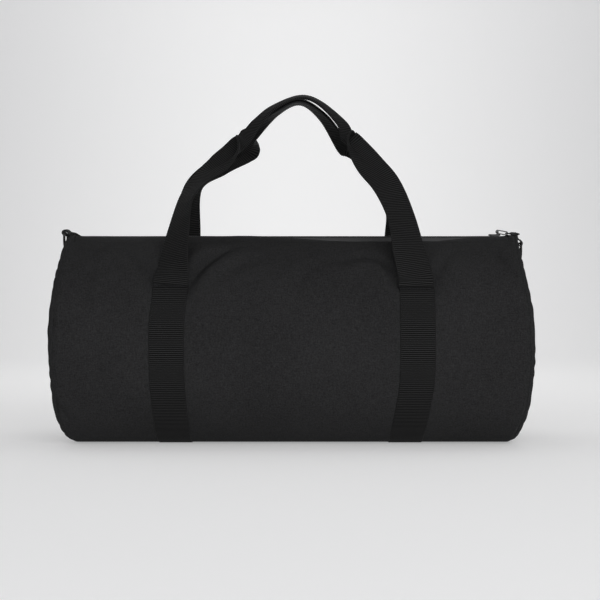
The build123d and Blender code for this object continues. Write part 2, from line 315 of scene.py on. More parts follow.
def thread_object(name, threads):
    """One mesh of many little threads."""
    vertices, faces, start = [], [], 0
    for grid in threads:
        nu, nv = grid.shape[:2]
        vertices.append(grid.reshape(-1, 3))
        for u in range(nu - 1):
            for v in range(nv):
                w = (v + 1) % nv
                here = start + u * nv
                faces.append((here + v, here + nv + v, here + nv + w, here + w))
        faces.append(tuple(start + v for v in range(nv)))
        faces.append(tuple(start + (nu - 1) * nv + v for v in reversed(range(nv))))
        start += nu * nv
    mesh = bpy.data.meshes.new(name)
    mesh.from_pydata(np.concatenate(vertices).tolist(), [], faces)
    mesh.polygons.foreach_set("use_smooth", [True] * len(mesh.polygons))
    obj = bpy.data.objects.new(name, mesh)
    bpy.context.scene.collection.objects.link(obj)
    return obj


# ---- materials


def new_material(name):
    """A material with its shader and a function that adds nodes to it."""
    material = bpy.data.materials.new(name)
    material.use_nodes = True
    tree = material.node_tree
    shader = tree.nodes["Principled BSDF"]

    def node(kind, **settings):
        made = tree.nodes.new(kind)
        for key, value in settings.items():
            setattr(made, key, value)
        return made

    return material, shader, (tree, node)


def link(tree, source, target):
    """Join an output to an input."""
    tree.links.new(source, target)


def ramp(node, tree, source, low, high, start=0.0, end=1.0):
    """A colour ramp from low to high, driven by a 0 to 1 value."""
    made = node("ShaderNodeValToRGB")
    made.color_ramp.elements[0].position = start
    made.color_ramp.elements[1].position = end
    made.color_ramp.elements[0].color = (*low, 1)
    made.color_ramp.elements[1].color = (*high, 1)
    link(tree, source, made.inputs["Fac"])
    return made.outputs["Color"]


def scaled(node, tree, source, scale):
    """A vector times a number for each axis."""
    made = node("ShaderNodeMapping")
    made.inputs["Scale"].default_value = scale
    link(tree, source, made.inputs["Vector"])
    return made.outputs["Vector"]


def noise(node, tree, vector, scale, detail=2.0, roughness=0.55):
    """A noise value from 0 to 1."""
    made = node("ShaderNodeTexNoise")
    made.inputs["Scale"].default_value = scale
    made.inputs["Detail"].default_value = detail
    made.inputs["Roughness"].default_value = roughness
    link(tree, vector, made.inputs["Vector"])
    return made.outputs["Fac"]


def maths(node, tree, operation, a, b):
    """A maths node between two values, either of which may be a plain number."""
    made = node("ShaderNodeMath", operation=operation)
    for value, socket in ((a, made.inputs[0]), (b, made.inputs[1])):
        if isinstance(value, (int, float)):
            socket.default_value = value
        else:
            link(tree, value, socket)
    return made.outputs[0]


def wave(node, tree, vector, pitch, direction):
    """Even ridges across a direction of the cloth, a pitch apart."""
    made = node("ShaderNodeTexWave", wave_type="BANDS", bands_direction=direction)
    made.inputs["Scale"].default_value = 2 * math.pi / (20 * pitch)
    made.inputs["Distortion"].default_value = 0.0
    link(tree, vector, made.inputs["Vector"])
    return made.outputs["Fac"]


def bump(node, tree, height, shader, strength, distance):
    """Fine relief too small for the mesh."""
    made = node("ShaderNodeBump")
    made.inputs["Strength"].default_value = strength
    made.inputs["Distance"].default_value = distance
    link(tree, height, made.inputs["Height"])
    link(tree, made.outputs["Normal"], shader.inputs["Normal"])


def cloth_vector(node):
    """Position on the cloth in metres, along and across it."""
    made = node("ShaderNodeUVMap")
    made.uv_map = "cloth"
    return made.outputs["UV"]


def canvas_material():
    """Tightly woven matte canvas: a fine basket weave, slubs in both threads and a faint heather."""
    material, shader, (tree, node) = new_material("canvas")
    cloth = cloth_vector(node)
    place = node("ShaderNodeTexCoord").outputs["Object"]
    warp = wave(node, tree, cloth, 0.72 * MM, "X")
    weft = wave(node, tree, cloth, 0.66 * MM, "Y")
    weave = maths(node, tree, "MULTIPLY", warp, weft)
    slub_across = noise(node, tree, scaled(node, tree, cloth, (90, 1500, 1)), 1.0, 1.0)
    slub_along = noise(node, tree, scaled(node, tree, cloth, (1500, 90, 1)), 1.0, 1.0)
    slub = maths(node, tree, "MULTIPLY", maths(node, tree, "ADD", slub_across, slub_along), 0.5)
    heather = noise(node, tree, place, 620, 2.0, 0.7)
    broad = noise(node, tree, place, 9, 2.0)
    speckle = maths(node, tree, "MULTIPLY", heather, 0.62)
    tone = maths(node, tree, "ADD", speckle, maths(node, tree, "MULTIPLY", slub, 0.5))
    tone = maths(node, tree, "ADD", tone, maths(node, tree, "MULTIPLY", broad, 0.16))
    tone = maths(node, tree, "ADD", tone, maths(node, tree, "MULTIPLY", weave, 0.12))
    colour = ramp(node, tree, tone, (0.0080, 0.0080, 0.0083), (0.0305, 0.0305, 0.0312), 0.45, 0.93)
    link(tree, colour, shader.inputs["Base Color"])
    shader.inputs["Roughness"].default_value = 0.95
    shader.inputs["Specular IOR Level"].default_value = 0.06
    height = maths(node, tree, "ADD", weave, maths(node, tree, "MULTIPLY", slub, 0.8))
    bump(node, tree, height, shader, 0.55, 0.16 * MM)
    return material


def webbing_material():
    """Polypropylene webbing: painted shade in the gaps between the ribs, with lighter crests, fine threads
    along it and plain selvedges.
    """
    material, shader, (tree, node) = new_material("webbing")
    cloth = cloth_vector(node)
    rib_shade = node("ShaderNodeAttribute", attribute_name="rib_shade").outputs["Fac"]
    rib_shade = maths(node, tree, "POWER", rib_shade, 1.8)
    threads = wave(node, tree, cloth, 0.55 * MM, "Y")
    speck = noise(node, tree, scaled(node, tree, cloth, (900, 2600, 1)), 1.0, 2.0, 0.7)
    # Painted shade: the colour goes from the lighter rib crests down to near black in the gaps between the
    # ribs.
    painted_rib_shade = maths(node, tree, "MULTIPLY", rib_shade, 0.8)
    tone = maths(node, tree, "ADD", painted_rib_shade, maths(node, tree, "MULTIPLY", speck, 0.24))
    colour = ramp(node, tree, tone, (0.0002, 0.0002, 0.0002), (0.0235, 0.0235, 0.0238), 0.10, 0.95)
    link(tree, colour, shader.inputs["Base Color"])
    shader.inputs["Roughness"].default_value = 0.6
    shader.inputs["Specular IOR Level"].default_value = 0.07
    height = maths(node, tree, "ADD", maths(node, tree, "MULTIPLY", threads, 0.5), speck)
    bump(node, tree, height, shader, 0.4, 0.12 * MM)
    return material


def tape_material():
    """Woven tape: a fine diagonal twill, a little shinier than the canvas, and much lighter in colour as a
    painted highlight where the strip along the zip catches the light.
    """
    material, shader, (tree, node) = new_material("tape")
    cloth = cloth_vector(node)
    turned = node("ShaderNodeMapping")
    turned.inputs["Rotation"].default_value = (0, 0, math.radians(38))
    link(tree, cloth, turned.inputs["Vector"])
    twill = wave(node, tree, turned.outputs["Vector"], 0.8 * MM, "X")
    speck = noise(node, tree, scaled(node, tree, cloth, (1400, 1400, 1)), 1.0, 2.0, 0.7)
    ridges = maths(node, tree, "MULTIPLY", twill, 0.5)
    tone = maths(node, tree, "ADD", ridges, maths(node, tree, "MULTIPLY", speck, 0.5))
    # Painted highlight: the tape's colour is set well above the canvas's, standing in for the lit strip along
    # the zip.
    colour = ramp(node, tree, tone, (0.022, 0.022, 0.0225), (0.075, 0.075, 0.077), 0.2, 0.9)
    link(tree, colour, shader.inputs["Base Color"])
    shader.inputs["Roughness"].default_value = 0.7
    shader.inputs["Specular IOR Level"].default_value = 0.25
    bump(node, tree, tone, shader, 0.5, 0.15 * MM)
    return material


def thread_material():
    """Bonded black thread with a twist."""
    material, shader, (tree, node) = new_material("thread")
    place = node("ShaderNodeTexCoord").outputs["Object"]
    fuzz = noise(node, tree, place, 2600, 2.0)
    colour = ramp(node, tree, fuzz, (0.006, 0.006, 0.007), (0.022, 0.022, 0.024))
    link(tree, colour, shader.inputs["Base Color"])
    shader.inputs["Roughness"].default_value = 0.5
    shader.inputs["Specular IOR Level"].default_value = 0.3
    bump(node, tree, fuzz, shader, 0.3, 0.1 * MM)
    return material


def coil_material():
    """Black nylon monofilament of the zip's coil."""
    material, shader, (tree, node) = new_material("coil")
    place = node("ShaderNodeTexCoord").outputs["Object"]
    cloudy = noise(node, tree, place, 700, 2.0)
    colour = ramp(node, tree, cloudy, (0.010, 0.010, 0.011), (0.022, 0.022, 0.024))
    link(tree, colour, shader.inputs["Base Color"])
    shader.inputs["Roughness"].default_value = 0.38
    shader.inputs["Specular IOR Level"].default_value = 0.45
    bump(node, tree, cloudy, shader, 0.15, 0.05 * MM)
    return material


def metal_material():
    """Black-plated steel, worn a little brighter and smoother in broad patches."""
    material, shader, (tree, node) = new_material("metal")
    place = node("ShaderNodeTexCoord").outputs["Object"]
    patch = noise(node, tree, place, 160, 3.0)
    grain = noise(node, tree, place, 2200, 2.0)
    colour = ramp(node, tree, patch, (0.002, 0.002, 0.0021), (0.007, 0.007, 0.0073), 0.35, 0.8)
    link(tree, colour, shader.inputs["Base Color"])
    shader.inputs["Specular IOR Level"].default_value = 0.18
    rough = node("ShaderNodeMapRange")
    rough.inputs["To Min"].default_value = 0.16
    rough.inputs["To Max"].default_value = 0.30
    link(tree, patch, rough.inputs["Value"])
    link(tree, rough.outputs["Result"], shader.inputs["Roughness"])
    bump(node, tree, grain, shader, 0.12, 0.03 * MM)
    return material


# ---- the barrel's surface


def section_radius(phi):
    """Distance from the barrel's axis to its outline, at an angle from the top. Metres and radians."""
    across, up = np.abs(np.sin(phi)), np.cos(phi)
    round_part = np.full_like(phi, RADIUS)
    corner = across * CORNER_Y + up * CORNER_Z
    reach = corner**2 - (CORNER_Y**2 + CORNER_Z**2) + CORNER_RADIUS**2
    corner = corner + np.sqrt(np.maximum(reach, 0))
    flat = (CENTRE_Z - FLOOR) / np.maximum(-up, 1e-6)
    radius = np.where((up < 0) & (across * round_part < 74 * MM), np.minimum(round_part, corner), round_part)
    return np.where((up < 0) & (across * flat < CORNER_Y), flat, radius)


# Folds in the front and back of the barrel. Each is an arc from a start to an end, drawn towards a point
# between, all (x in mm, angle from the top in degrees). Then come its depth in mm (below 0 is a valley), its
# half-width in mm, and how much of a ridge stands beside it, on the left as it is drawn.
FRONT_FOLDS = [
    ((-121, 60), (-103, 38), (-66, 27), -10.0, 9, 0.5),
    ((-88, 56), (-64, 43), (-26, 38), -3.2, 10, 0.5),
    ((-60, 30), (-45, 27), (-28, 29), -2.2, 7, 0.0),
    ((122, 60), (108, 30), (58, 43), -5.2, 7, 0.6),
    ((4, 61), (11, 52), (24, 46), -3.0, 9, 0.5),
    ((66, 60), (73, 53), (86, 50), -2.4, 9, 0.4),
    ((160, 62), (163, 46), (190, 34), -4.0, 8, 0.45),
    ((-161, 60), (-164, 44), (-182, 34), -4.0, 9, 0.4),
    ((-234, 43), (-210, 32), (-186, 29), 2.6, 10, 0.3),
    ((-233, 36), (-230, 52), (-238, 70), -1.6, 5, 0.5),
    ((240, 33), (248, 39), (256, 45), -3.6, 6, 0.5),
    ((-273, 74), (-265, 86), (-255, 76), -2.3, 3.2, 0.5),
    ((-270, 122), (-264, 128), (-258, 136), -2.6, 5.5, 0.4),
    ((272, 90), (264, 91), (254, 94), -1.5, 3.2, 0.5),
    ((272, 128), (262, 131), (252, 129), -1.3, 5, 0.4),
    ((266, 60), (250, 66), (236, 76), -0.7, 7, 0.3),
    ((-20, 70), (-40, 84), (-70, 96), -0.5, 22, 0.5),
    ((60, 74), (40, 92), (10, 108), -0.5, 22, 0.5),
    ((200, 70), (215, 92), (220, 120), -0.5, 20, 0.4),
    ((-200, 80), (-212, 104), (-205, 126), -0.5, 20, 0.4),
]
BACK_FOLDS = [
    ((120, 60), (106, 43), (80, 35), -4.2, 9, 0.55),
    ((-120, 60), (-100, 30), (-58, 42), -3.4, 8, 0.55),
    ((-160, 60), (-166, 48), (-180, 38), -2.4, 9, 0.4),
    ((161, 60), (167, 48), (178, 38), -2.2, 9, 0.4),
    ((10, 60), (22, 52), (30, 46), -1.4, 11, 0.4),
    ((272, 78), (262, 82), (250, 80), -2.0, 4, 0.5),
    ((-272, 100), (-262, 98), (-250, 102), -2.0, 4, 0.5),
    ((40, 76), (20, 95), (-20, 108), -0.5, 22, 0.5),
]
FOLD_SHARES = np.linspace(0, 1, 8)[:, None] * np.ones(2)


def fold_height(x, along, folds):
    """How far the folds lift each point of the barrel. x and along (from the top) are in millimetres."""
    total = np.zeros_like(x)
    u = FOLD_SHARES
    for start, between, end, depth, width, ridge in folds:
        line = (1 - u) ** 2 * start + 2 * u * (1 - u) * between + u**2 * end
        line[:, 1] = np.radians(line[:, 1]) * RADIUS / MM
        best = np.full_like(x, 1e9)
        side = np.zeros_like(x)
        share = np.zeros_like(x)
        total_run = run_along(line)[-1]
        run = 0.0
        for a, b in zip(line[:-1], line[1:]):
            d = b - a
            length = np.linalg.norm(d)
            t = np.clip(((x - a[0]) * d[0] + (along - a[1]) * d[1]) / length**2, 0, 1)
            gap_x, gap_s = x - a[0] - t * d[0], along - a[1] - t * d[1]
            gap = np.hypot(gap_x, gap_s)
            nearer = gap < best
            best = np.where(nearer, gap, best)
            side = np.where(nearer, np.sign(d[0] * gap_s - d[1] * gap_x), side)
            share = np.where(nearer, (run + t * length) / total_run, share)
            run += length
        taper = np.sin(math.pi * np.clip(0.16 + 0.78 * share, 0, 1)) ** 0.8
        q = best * side
        shape = np.exp(-((q / width) ** 2)) - ridge * np.exp(-(((q + 1.9 * width) / (1.3 * width)) ** 2))
        total += depth * taper * shape
    return total


def ripple(x, s, seed, count, longest, shortest):
    """Smooth uneven waves over the cloth, a sum of sines with seeded directions. Between about -1 and 1."""
    random = np.random.default_rng(seed)
    total = np.zeros_like(x)
    weight = 0.0
    for _ in range(count):
        length = shortest * (longest / shortest) ** random.random()
        turn = random.random() * 2 * math.pi
        phase = random.random() * 2 * math.pi
        size = (length / longest) ** 0.7
        total += size * np.sin(2 * math.pi * (x * math.cos(turn) + s * math.sin(turn)) / length + phase)
        weight += size**2
    return total / math.sqrt(weight)


# How far the ends of the bag lean in, in millimetres, at heights above the floor in millimetres
LEAN_HEIGHTS = [0, 20, 45, 100, 150, 190, 215, 240, 247]
LEAN_LEFT = [11, 5, 1, 0, 0, 2, 4.5, 4, 0]
LEAN_RIGHT = [11, 8, 2.5, 0.5, 1, 6, 8, 6, 0]


def lean(points):
    """Move the points near both ends inward, more at the bottom corners and the shoulders."""
    x, z = points[..., 0], points[..., 2] / MM
    amount = np.zeros_like(x)
    for knots, where in ((LEAN_LEFT, x < 0), (LEAN_RIGHT, x > 0)):
        inward = sum(np.interp(z + shift, LEAN_HEIGHTS, knots) for shift in (-6, -3, 0, 3, 6)) / 5
        amount = np.where(where, inward, amount)
    share = smoothstep((np.abs(x) / MM - 170) / 100)
    points = points.copy()
    points[..., 0] = x - np.sign(x) * amount * share * MM
    return points


def barrel_points(x, phi):
    """Points of the canvas barrel at a distance along it (m) and an angle from the top (front is above 0)."""
    x_mm = x / MM
    wrapped = (phi + math.pi) % (2 * math.pi) - math.pi
    s_mm = wrapped * RADIUS / MM
    near_mouth = smoothstep((np.abs(wrapped) - 0.44) / 0.16)
    lift = fold_height(x_mm, s_mm, FRONT_FOLDS) * near_mouth * (wrapped > 0)
    lift += fold_height(x_mm, -s_mm, BACK_FOLDS) * near_mouth * (wrapped < 0)
    under = smoothstep((2.75 - np.abs(wrapped)) / 0.5)
    lift += 0.55 * ripple(x_mm, s_mm, 5, 14, 210, 60) * near_mouth * under
    lift += 0.16 * ripple(x_mm, s_mm, 8, 22, 60, 22) * near_mouth * under
    for side in (-1, 1):
        gap = np.abs(x_mm - side * STRAP_X / MM)
        lift = np.where(gap < 60, lift - np.maximum(lift, 0) * np.exp(-((gap / 27) ** 4)), lift)
        lift -= 1.1 * np.exp(-((gap / 26) ** 2)) * near_mouth * under
    end = HALF / MM - np.abs(x_mm)
    pucker = np.sin(wrapped * 47 + 3 * np.sin(wrapped * 5)) * (0.6 + 0.4 * np.sin(wrapped * 13 + 1))
    lift += 0.35 * pucker * np.exp(-((end / 9) ** 2)) * near_mouth
    lift -= 1.9 * np.exp(-((end / 2.6) ** 2))
    lift = np.where(np.cos(phi) < -0.93, np.maximum(lift, -1.9), lift)
    radius = section_radius(phi) + lift * MM
    return lean(round_the_axis(x, radius, phi))


def barrel_uv(x, phi):
    """Position on the flat sheet of canvas, in metres."""
    return np.stack([x, phi * RADIUS], -1)


FOLD_PHI = math.asin(FOLD_Y / RADIUS)


def grid_x(inner, outer, step):
    """Even positions along the bag from inner to outer, about a step apart."""
    count = int((outer - inner) / step)
    return np.linspace(inner, outer, count + 1)


def make_barrel():
    """The wrapped canvas below the mouth, and the short closed tops at both ends."""
    step = 2.6 * MM
    x = np.concatenate([
        -grid_x(0.256, HALF, 0.9 * MM)[::-1],
        np.linspace(-0.256, 0.256, int(0.512 / step))[1:-1],
        grid_x(0.256, HALF, 0.9 * MM),
    ])
    phi = np.linspace(FOLD_PHI, 2 * math.pi - FOLD_PHI, 290)
    xx, pp = np.meshgrid(x, phi, indexing="ij")
    parts = [shell_object("wrap", barrel_points(xx, pp), barrel_uv(xx, pp), CANVAS_THICK)]
    for side in (-1, 1):
        x = np.linspace(side * end_hi.x, side * HALF, 12)
        phi = np.linspace(-FOLD_PHI, FOLD_PHI, 44)
        xx, pp = np.meshgrid(x, phi[::-side], indexing="ij")
        skin = barrel_points(xx, pp)[:, ::-1]
        parts.append(shell_object(f"top_{side}", skin, barrel_uv(xx, pp), CANVAS_THICK))
    body = join_grids("canvas_barrel", parts)
    body.data.materials.append(CANVAS)
    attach(body, "barrel")
    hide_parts("body_panel")
    return body


def make_end(side, name):
    """A round end panel: a puffed rim at the seam, a shallow dome, puckers and the seam's turned edge."""
    rings = np.concatenate([np.linspace(1.0, 0.86, 22), np.linspace(0.85, 0.05, 38), [0.02, 0.004]])
    phi = np.linspace(0, 2 * math.pi, 300, endpoint=False)
    rr, pp = np.meshgrid(rings, phi, indexing="ij")
    inset = (1 - rr) * RADIUS / MM
    dome = 5.6 * (1 - np.exp(-inset / 3.4)) + 2.0 * smoothstep(inset / 60)
    wrapped = (pp + math.pi) % (2 * math.pi) - math.pi
    pucker = np.sin(wrapped * 41 + 2 * np.sin(wrapped * 7)) * (0.6 + 0.4 * np.sin(wrapped * 11 + side))
    dome += 0.55 * pucker * np.exp(-(((inset - 5) / 7) ** 2)) * smoothstep(inset / 2)
    y_mm = -rr * np.sin(pp) * RADIUS / MM
    z_mm = rr * np.cos(pp) * RADIUS / MM
    dome += 0.7 * ripple(y_mm, z_mm, 21 + side, 12, 150, 45) * smoothstep(inset / 12)
    edge = section_radius(pp) - 1.9 * MM
    bulge = 1.2 * MM * np.sin(math.pi * np.clip(inset / 9, 0, 1))
    radius = rr * edge + bulge
    points = lean(round_the_axis(side * (HALF + dome * MM), radius, pp))
    uv = np.stack([rr * np.sin(pp) * RADIUS, rr * np.cos(pp) * RADIUS], -1)
    if side < 0:
        points, uv = points[:, ::-1], uv[:, ::-1]
    panel = shell_object(f"{name}_end_canvas", points, uv, CANVAS_THICK, closed_v=True)
    panel.data.materials.append(CANVAS)
    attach(panel, "barrel")
    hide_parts(f"{name}_end_panel")


def make_binding(side, name):
    """The tape folded over the seam allowance inside the bag, all round an end."""
    phi = np.linspace(0, 2 * math.pi, 240, endpoint=False)
    outline = [(-1.6, 2.4), (-1.6, 8.6), (-2.2, 9.2), (-3.2, 9.2), (-3.8, 8.6), (-3.8, 2.4)]
    offset, depth = np.array(outline).T
    radius = section_radius(phi)[None, :] - depth[:, None] * MM
    x = np.full_like(radius, side * HALF) + side * offset[:, None] * MM
    depths, angles = np.meshgrid(depth, phi, indexing="ij")
    points = lean(round_the_axis(x, radius, angles))
    uv = np.stack([depths * MM, angles * RADIUS], -1)
    if side > 0:
        points, uv = points[::-1], uv[::-1]
    binding = grid_object(f"{name}_binding_tape", points, uv, closed_u=True, closed_v=True)
    binding.data.materials.append(TAPE)
    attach(binding, "barrel")
    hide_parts(f"{name}_seam_binding")


# ---- webbing


def rib_height(run, across, phase=0.0):
    """Height of the ribs (m) and how far up a rib each point is (0 to 1), over the length and the width."""
    wavy = 0.04 * np.sin(run / (31 * MM)) * np.ones_like(across)
    turn = 2 * math.pi * (run / RIB_PITCH + wavy) + phase
    crest = 0.5 + 0.5 * np.cos(turn)
    crest = smoothstep(crest)
    edge = smoothstep((1 - np.abs(across)) / 0.075)
    level = crest * edge + 0.62 * (1 - edge)
    return RIB_HEIGHT * (level - 0.5), level


def ribbon_object(name, points, run, across, thick=1.7 * MM):
    """A length of webbing from its middle surface: ribs on both faces and rounded selvedges.

    points is (along, across, 3), run the distance along in metres, across from -1 to 1.
    """
    run_grid, across_grid = np.meshgrid(run, across, indexing="ij")
    height, level = rib_height(run_grid, across_grid)
    normal = grid_normals(points)
    half = thick / 2 * np.sqrt(np.clip(1 - (np.abs(across_grid) - 0.955).clip(0) ** 2 / 0.05**2, 0.05, 1))
    front = points + normal * (half + height)[..., None]
    back = points - normal * (half + height)[..., None]
    loop = np.concatenate([front, back[:, ::-1]], 1)
    uv_front = np.stack([run_grid, across_grid * WEB_WIDTH / 2], -1)
    uv = np.concatenate([uv_front, uv_front[:, ::-1]], 1)
    obj = grid_object(name, loop, uv, closed_v=True)
    close_ends(obj, loop.shape[0], loop.shape[1])
    # The rib level goes to the webbing material, which paints shade into the gaps between the ribs.
    point_value(obj, "rib_shade", np.concatenate([level, level[:, ::-1]], 1))
    obj.data.materials.append(WEBBING)
    return obj


HALF_ACROSS = np.array([0.25, 0.5, 0.72, 0.86, 0.93, 0.96, 0.985, 1])
ACROSS = np.concatenate([-HALF_ACROSS[::-1], [0], HALF_ACROSS])
SAMPLES_PER_RIB = 6


def strap_line(side, phi):
    """Where the middle of a strap runs along the bag at an angle from the top, in metres."""
    z = CENTRE_Z + RADIUS * np.cos(phi)
    low = smoothstep((90 * MM - z) / (90 * MM))
    high = smoothstep((z - 140 * MM) / (47 * MM))
    if side > 0:
        return 142.3 * MM - 8.6 * MM * low
    return -142.0 * MM + 3.2 * MM * low + 3.2 * MM * high


def stitch_phi(side):
    """Angle from the top where a strap's front stitching ends and the handle starts."""
    height = HINGE_Z + (1.0 if side < 0 else -2.0) * MM
    return math.acos((height - CENTRE_Z) / (RADIUS + WEB_THICK))


def make_strap(side, name):
    """A strap sewn round the barrel from the front stitch bar, under the bag, to the back one."""
    start = stitch_phi(side)
    length = (2 * math.pi - 2 * start) * RADIUS
    count = int(length / RIB_PITCH * SAMPLES_PER_RIB)
    phi = np.linspace(start, 2 * math.pi - start, count)
    line = strap_line(side, phi)
    xx = line[:, None] + ACROSS[None, :] * WEB_WIDTH / 2
    pp = np.repeat(phi[:, None], len(ACROSS), 1)
    skin = barrel_points(xx, pp)
    level = np.sort(np.linalg.norm(skin[..., 1:] - (0, CENTRE_Z), axis=-1), axis=1)[:, -5:].mean(1)
    level = np.convolve(np.pad(level, 24, mode="edge"), np.ones(49) / 49, mode="valid")
    reach = level[:, None] + 1.15 * MM
    mid = round_the_axis(xx, reach, pp)
    mid[..., 2] = np.maximum(mid[..., 2], 1.1 * MM)
    run = run_along(mid[:, len(ACROSS) // 2])
    strap = ribbon_object(f"{name}_strap_webbing", mid[:, ::-1], run, ACROSS)
    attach(strap, "barrel")
    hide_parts(f"{name}_strap")

    normal = grid_normals(mid[:, ::-1])[:, ::-1]
    threads = []
    for column in (3, len(ACROSS) - 4):
        path = mid[:, column] + normal[:, column] * (0.85 * MM + 0.1 * MM)
        above_floor = np.cos(phi) > -0.955
        for part in (above_floor & (phi < math.pi), above_floor & (phi > math.pi)):
            threads += stitch_row(path[part], normal[:, column][part])
    return threads


# ---- handles


class HandlePlane:
    """The leaning plane of a handle: x along the bag, s up from the stitched ends, b towards the back."""

    def __init__(self, front):
        apex = Vector((0, front * 4.5 * MM, 417 * MM))
        base = Vector((0, front * HINGE_Y, HINGE_Z))
        self.base = np.array(base)
        self.up = np.array((apex - base).normalized())
        self.inward = np.array([0.0, -front, 0.0])

    def place(self, x, s, b):
        """Points from millimetres in the plane, and millimetres towards the middle of the bag."""
        x, s, b = (np.asarray(v, float) * MM for v in (x, s, b))
        along = np.stack([x, np.zeros_like(x), np.zeros_like(x)], -1)
        return self.base + along + s[..., None] * self.up + b[..., None] * self.inward


# Stations of a handle, left to right: where its middle or its fold is (x, s), how wide it looks from in
# front, all in millimetres, and how far it is doubled over (0 flat, 1 folded)
FRONT_STATIONS = [
    (-139, 0, 40, 0),
    (-134, 60, 28, 0),
    (-125, 112, 18, 0),
    (-104, 144, 22, 0),
    (-85, 158, 30, 0.15),
    (-67, 173, 28, 0.4),
    (-51, 190, 20, 1),
    (-37, 217, 12, 1),
    (-21, 237, 6, 1),
    (9, 252, 4, 1),
    (31, 244, 5, 1),
    (54, 215, 12, 1),
    (59, 194, 21, 0.9),
    (70, 182, 29, 0.4),
    (91, 157, 35, 0.1),
    (111, 131, 35, 0),
    (127, 88, 33, 0),
    (135, 43, 38, 0),
    (141, 12, 40, 0),
    (141, -3, 40, 0),
]
BACK_STATIONS = [
    (-139, 0, 40, 0),
    (-138, 70, 38, 0),
    (-126, 136, 17, 0),
    (-93, 165, 23, 0),
    (-62, 182, 34, 0.2),
    (-51, 194, 32, 0.4),
    (-43, 204, 19, 1),
    (-18, 233, 4, 1),
    (9, 246, 1, 1),
    (34, 226, 8, 1),
    (57, 185, 20, 1),
    (70, 178, 25, 0.45),
    (100, 160, 26, 0),
    (131, 110, 25, 0),
    (136, 62, 35, 0),
    (140, 0, 40, 0),
]


def make_handle(front, name, stations):
    """A webbing handle, flat at its stitched ends and doubled over its own length at the grip."""
    plane = HandlePlane(front)
    rows = np.array(stations, float)
    length = run_along(rows[:, :2])[-1] * 1.02
    count = int(length * MM / RIB_PITCH * SAMPLES_PER_RIB)
    path = spline(rows, count)
    fold = np.clip(path[:, 3], 0, 1)
    middle = plane.place(path[:, 0], path[:, 1], 0 * path[:, 0])
    run = run_along(middle)

    forward = np.gradient(path[:, :2], axis=0)
    forward /= np.linalg.norm(forward, axis=1, keepdims=True)
    toward = np.stack([-forward[:, 1], forward[:, 0]], 1) * path[:, 2:3] * MM
    seen = np.stack([toward[:, 0], np.zeros(count), toward[:, 1] * plane.up[2]], 1)
    seen *= (0.5 + 0.5 * fold)[:, None]
    half = WEB_WIDTH / 2
    lap = 2.0 * MM * fold
    hidden = np.sqrt(np.maximum((half + lap) ** 2 - (seen**2).sum(1), (0.02 * half) ** 2))
    weights = np.hanning(31) / np.hanning(31).sum()
    hidden = np.convolve(np.pad(hidden, 15, mode="edge"), weights, mode="valid")
    ends = smoothstep(np.minimum(run, run[-1] - run) / (30 * MM))
    width = seen + (hidden * ends)[:, None] * plane.inward
    tangent = np.gradient(middle, axis=0)
    tangent /= np.linalg.norm(tangent, axis=1, keepdims=True)
    width -= (width * tangent).sum(1, keepdims=True) * tangent
    width /= np.linalg.norm(width, axis=1, keepdims=True)
    outward = np.cross(tangent, width)
    outward *= -np.sign((outward @ plane.inward).sum())

    across = np.concatenate([ACROSS[ACROSS < -0.3], np.linspace(-0.25, 0.25, 11), ACROSS[ACROSS > 0.3]])
    q = across * half
    fine = np.linspace(-half, half, 241)
    bend_zone = 3.4 * MM
    swing = smoothstep((bend_zone / 2 - lap[:, None] - fine[None, :]) / bend_zone)
    swing *= fold[:, None] * math.radians(172)
    step = fine[1] - fine[0]
    along_width = np.cumsum(np.cos(swing), 1) * step
    along_back = -np.cumsum(np.sin(swing), 1) * step
    for row in range(count):
        along_width[row] -= np.interp(-lap[row], fine, along_width[row])
        along_back[row] -= np.interp(-lap[row], fine, along_back[row])
    rows_w = np.stack([np.interp(q, fine, along_width[i]) for i in range(count)])
    rows_b = np.stack([np.interp(q, fine, along_back[i]) for i in range(count)])
    grid = middle[:, None] + rows_w[..., None] * width[:, None] + rows_b[..., None] * outward[:, None]
    if front > 0:
        handle = ribbon_object(f"{name}_handle_webbing", grid, run, across)
    else:
        handle = ribbon_object(f"{name}_handle_webbing", grid[:, ::-1], run, across[::-1])
    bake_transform(handle)
    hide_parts(f"{name}_handle")


def make_stitch_bars():
    """The bars of close stitching that hold each handle to its strap, two rows at each."""
    threads = []
    for front in (-1, 1):
        for side in (-1, 1):
            start = stitch_phi(side)
            for offset, pitch in ((0.6, 1.5), (2.6, 1.5)):
                phi = start + offset * MM / RADIUS
                x = side * STRAP_X + np.linspace(-0.94, 0.94, 40) * WEB_WIDTH / 2
                reach = RADIUS + 2.35 * MM
                path = round_the_axis(x, np.full_like(x, reach), np.full_like(x, -front * phi))
                normal = np.tile([0, front * math.sin(phi), math.cos(phi)], (len(x), 1))
                threads += stitch_row(path, normal, pitch * MM, 0.5 * MM, 0.4 * MM)
    return threads


# ---- the mouth and the zip


def zip_sag(x):
    """How far the front edge of the mouth hangs below the zip, along the bag, in metres."""
    x_mm = x / MM
    right = smoothstep((x_mm + 60) / 150) * (1 - smoothstep((x_mm - 165) / 75))
    left = smoothstep((x_mm + 262) / 30) * (1 - smoothstep((x_mm + 190) / 50))
    return (1.2 + 6.6 * right + 1.6 * left + 0.3 * np.sin(x_mm / 37)) * MM


